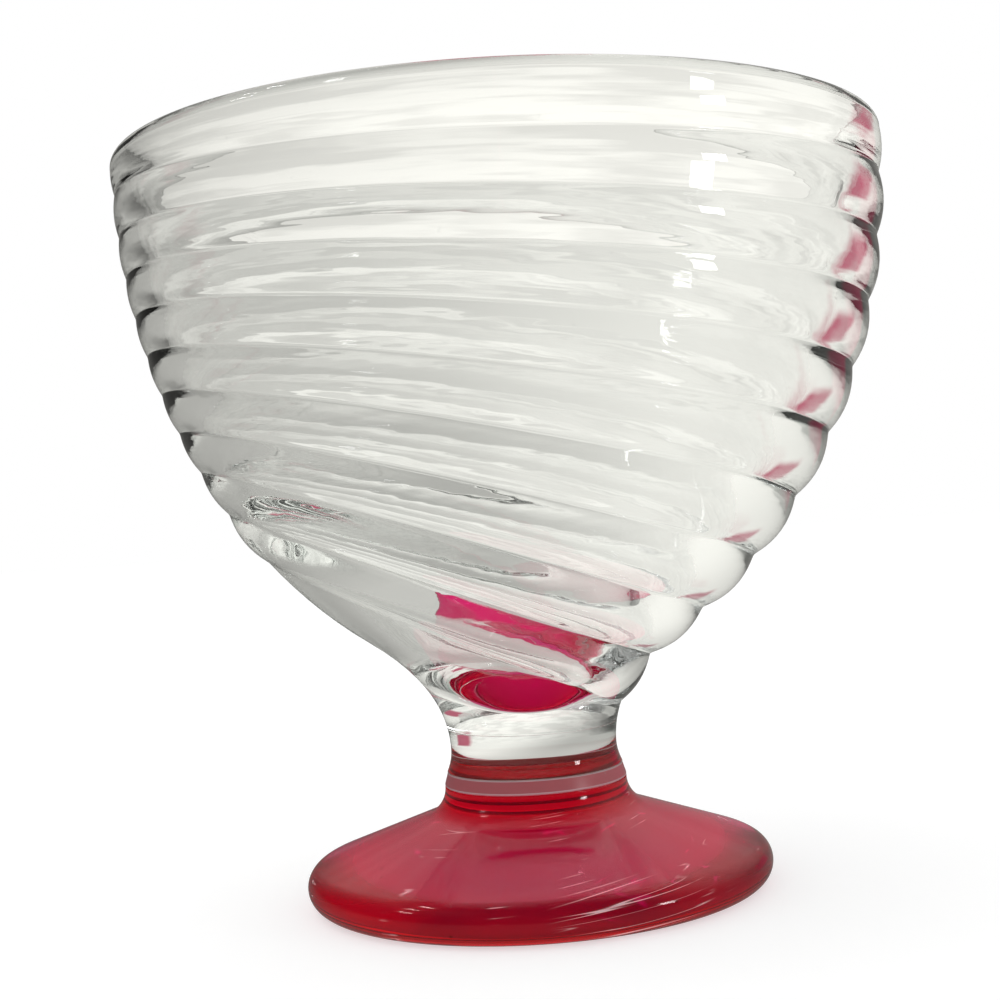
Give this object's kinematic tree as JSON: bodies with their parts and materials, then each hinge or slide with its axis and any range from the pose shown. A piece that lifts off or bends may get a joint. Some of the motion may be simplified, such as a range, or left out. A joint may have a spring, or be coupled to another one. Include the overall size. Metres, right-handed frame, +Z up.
{
  "type": "footed compote dish",
  "caption": "Footed glass compote dish: a clear bowl with swirled ribs fused on a short solid neck, a thin pink glass wafer and a flared ruby foot, for serving dessert or fruit.",
  "frame": {"origin": "centre of the face that the foot rests on", "axes": "+Z up along the dish's axis; +X is the side on which the swirled ribs run lowest; -Y is the side seen in the picture"},
  "size_m": [0.1081, 0.1085, 0.1055],
  "materials": {
    "clear_glass": "fire-polished",
    "neck_glass": "fire-polished",
    "pink_glass": "fire-polished",
    "ruby_glass": "fire-polished"
  },
  "bodies": {
    "root": {"bowl": "clear_glass", "neck": "neck_glass", "wafer": "pink_glass", "foot": "ruby_glass"}
  },
  "joints": []
}
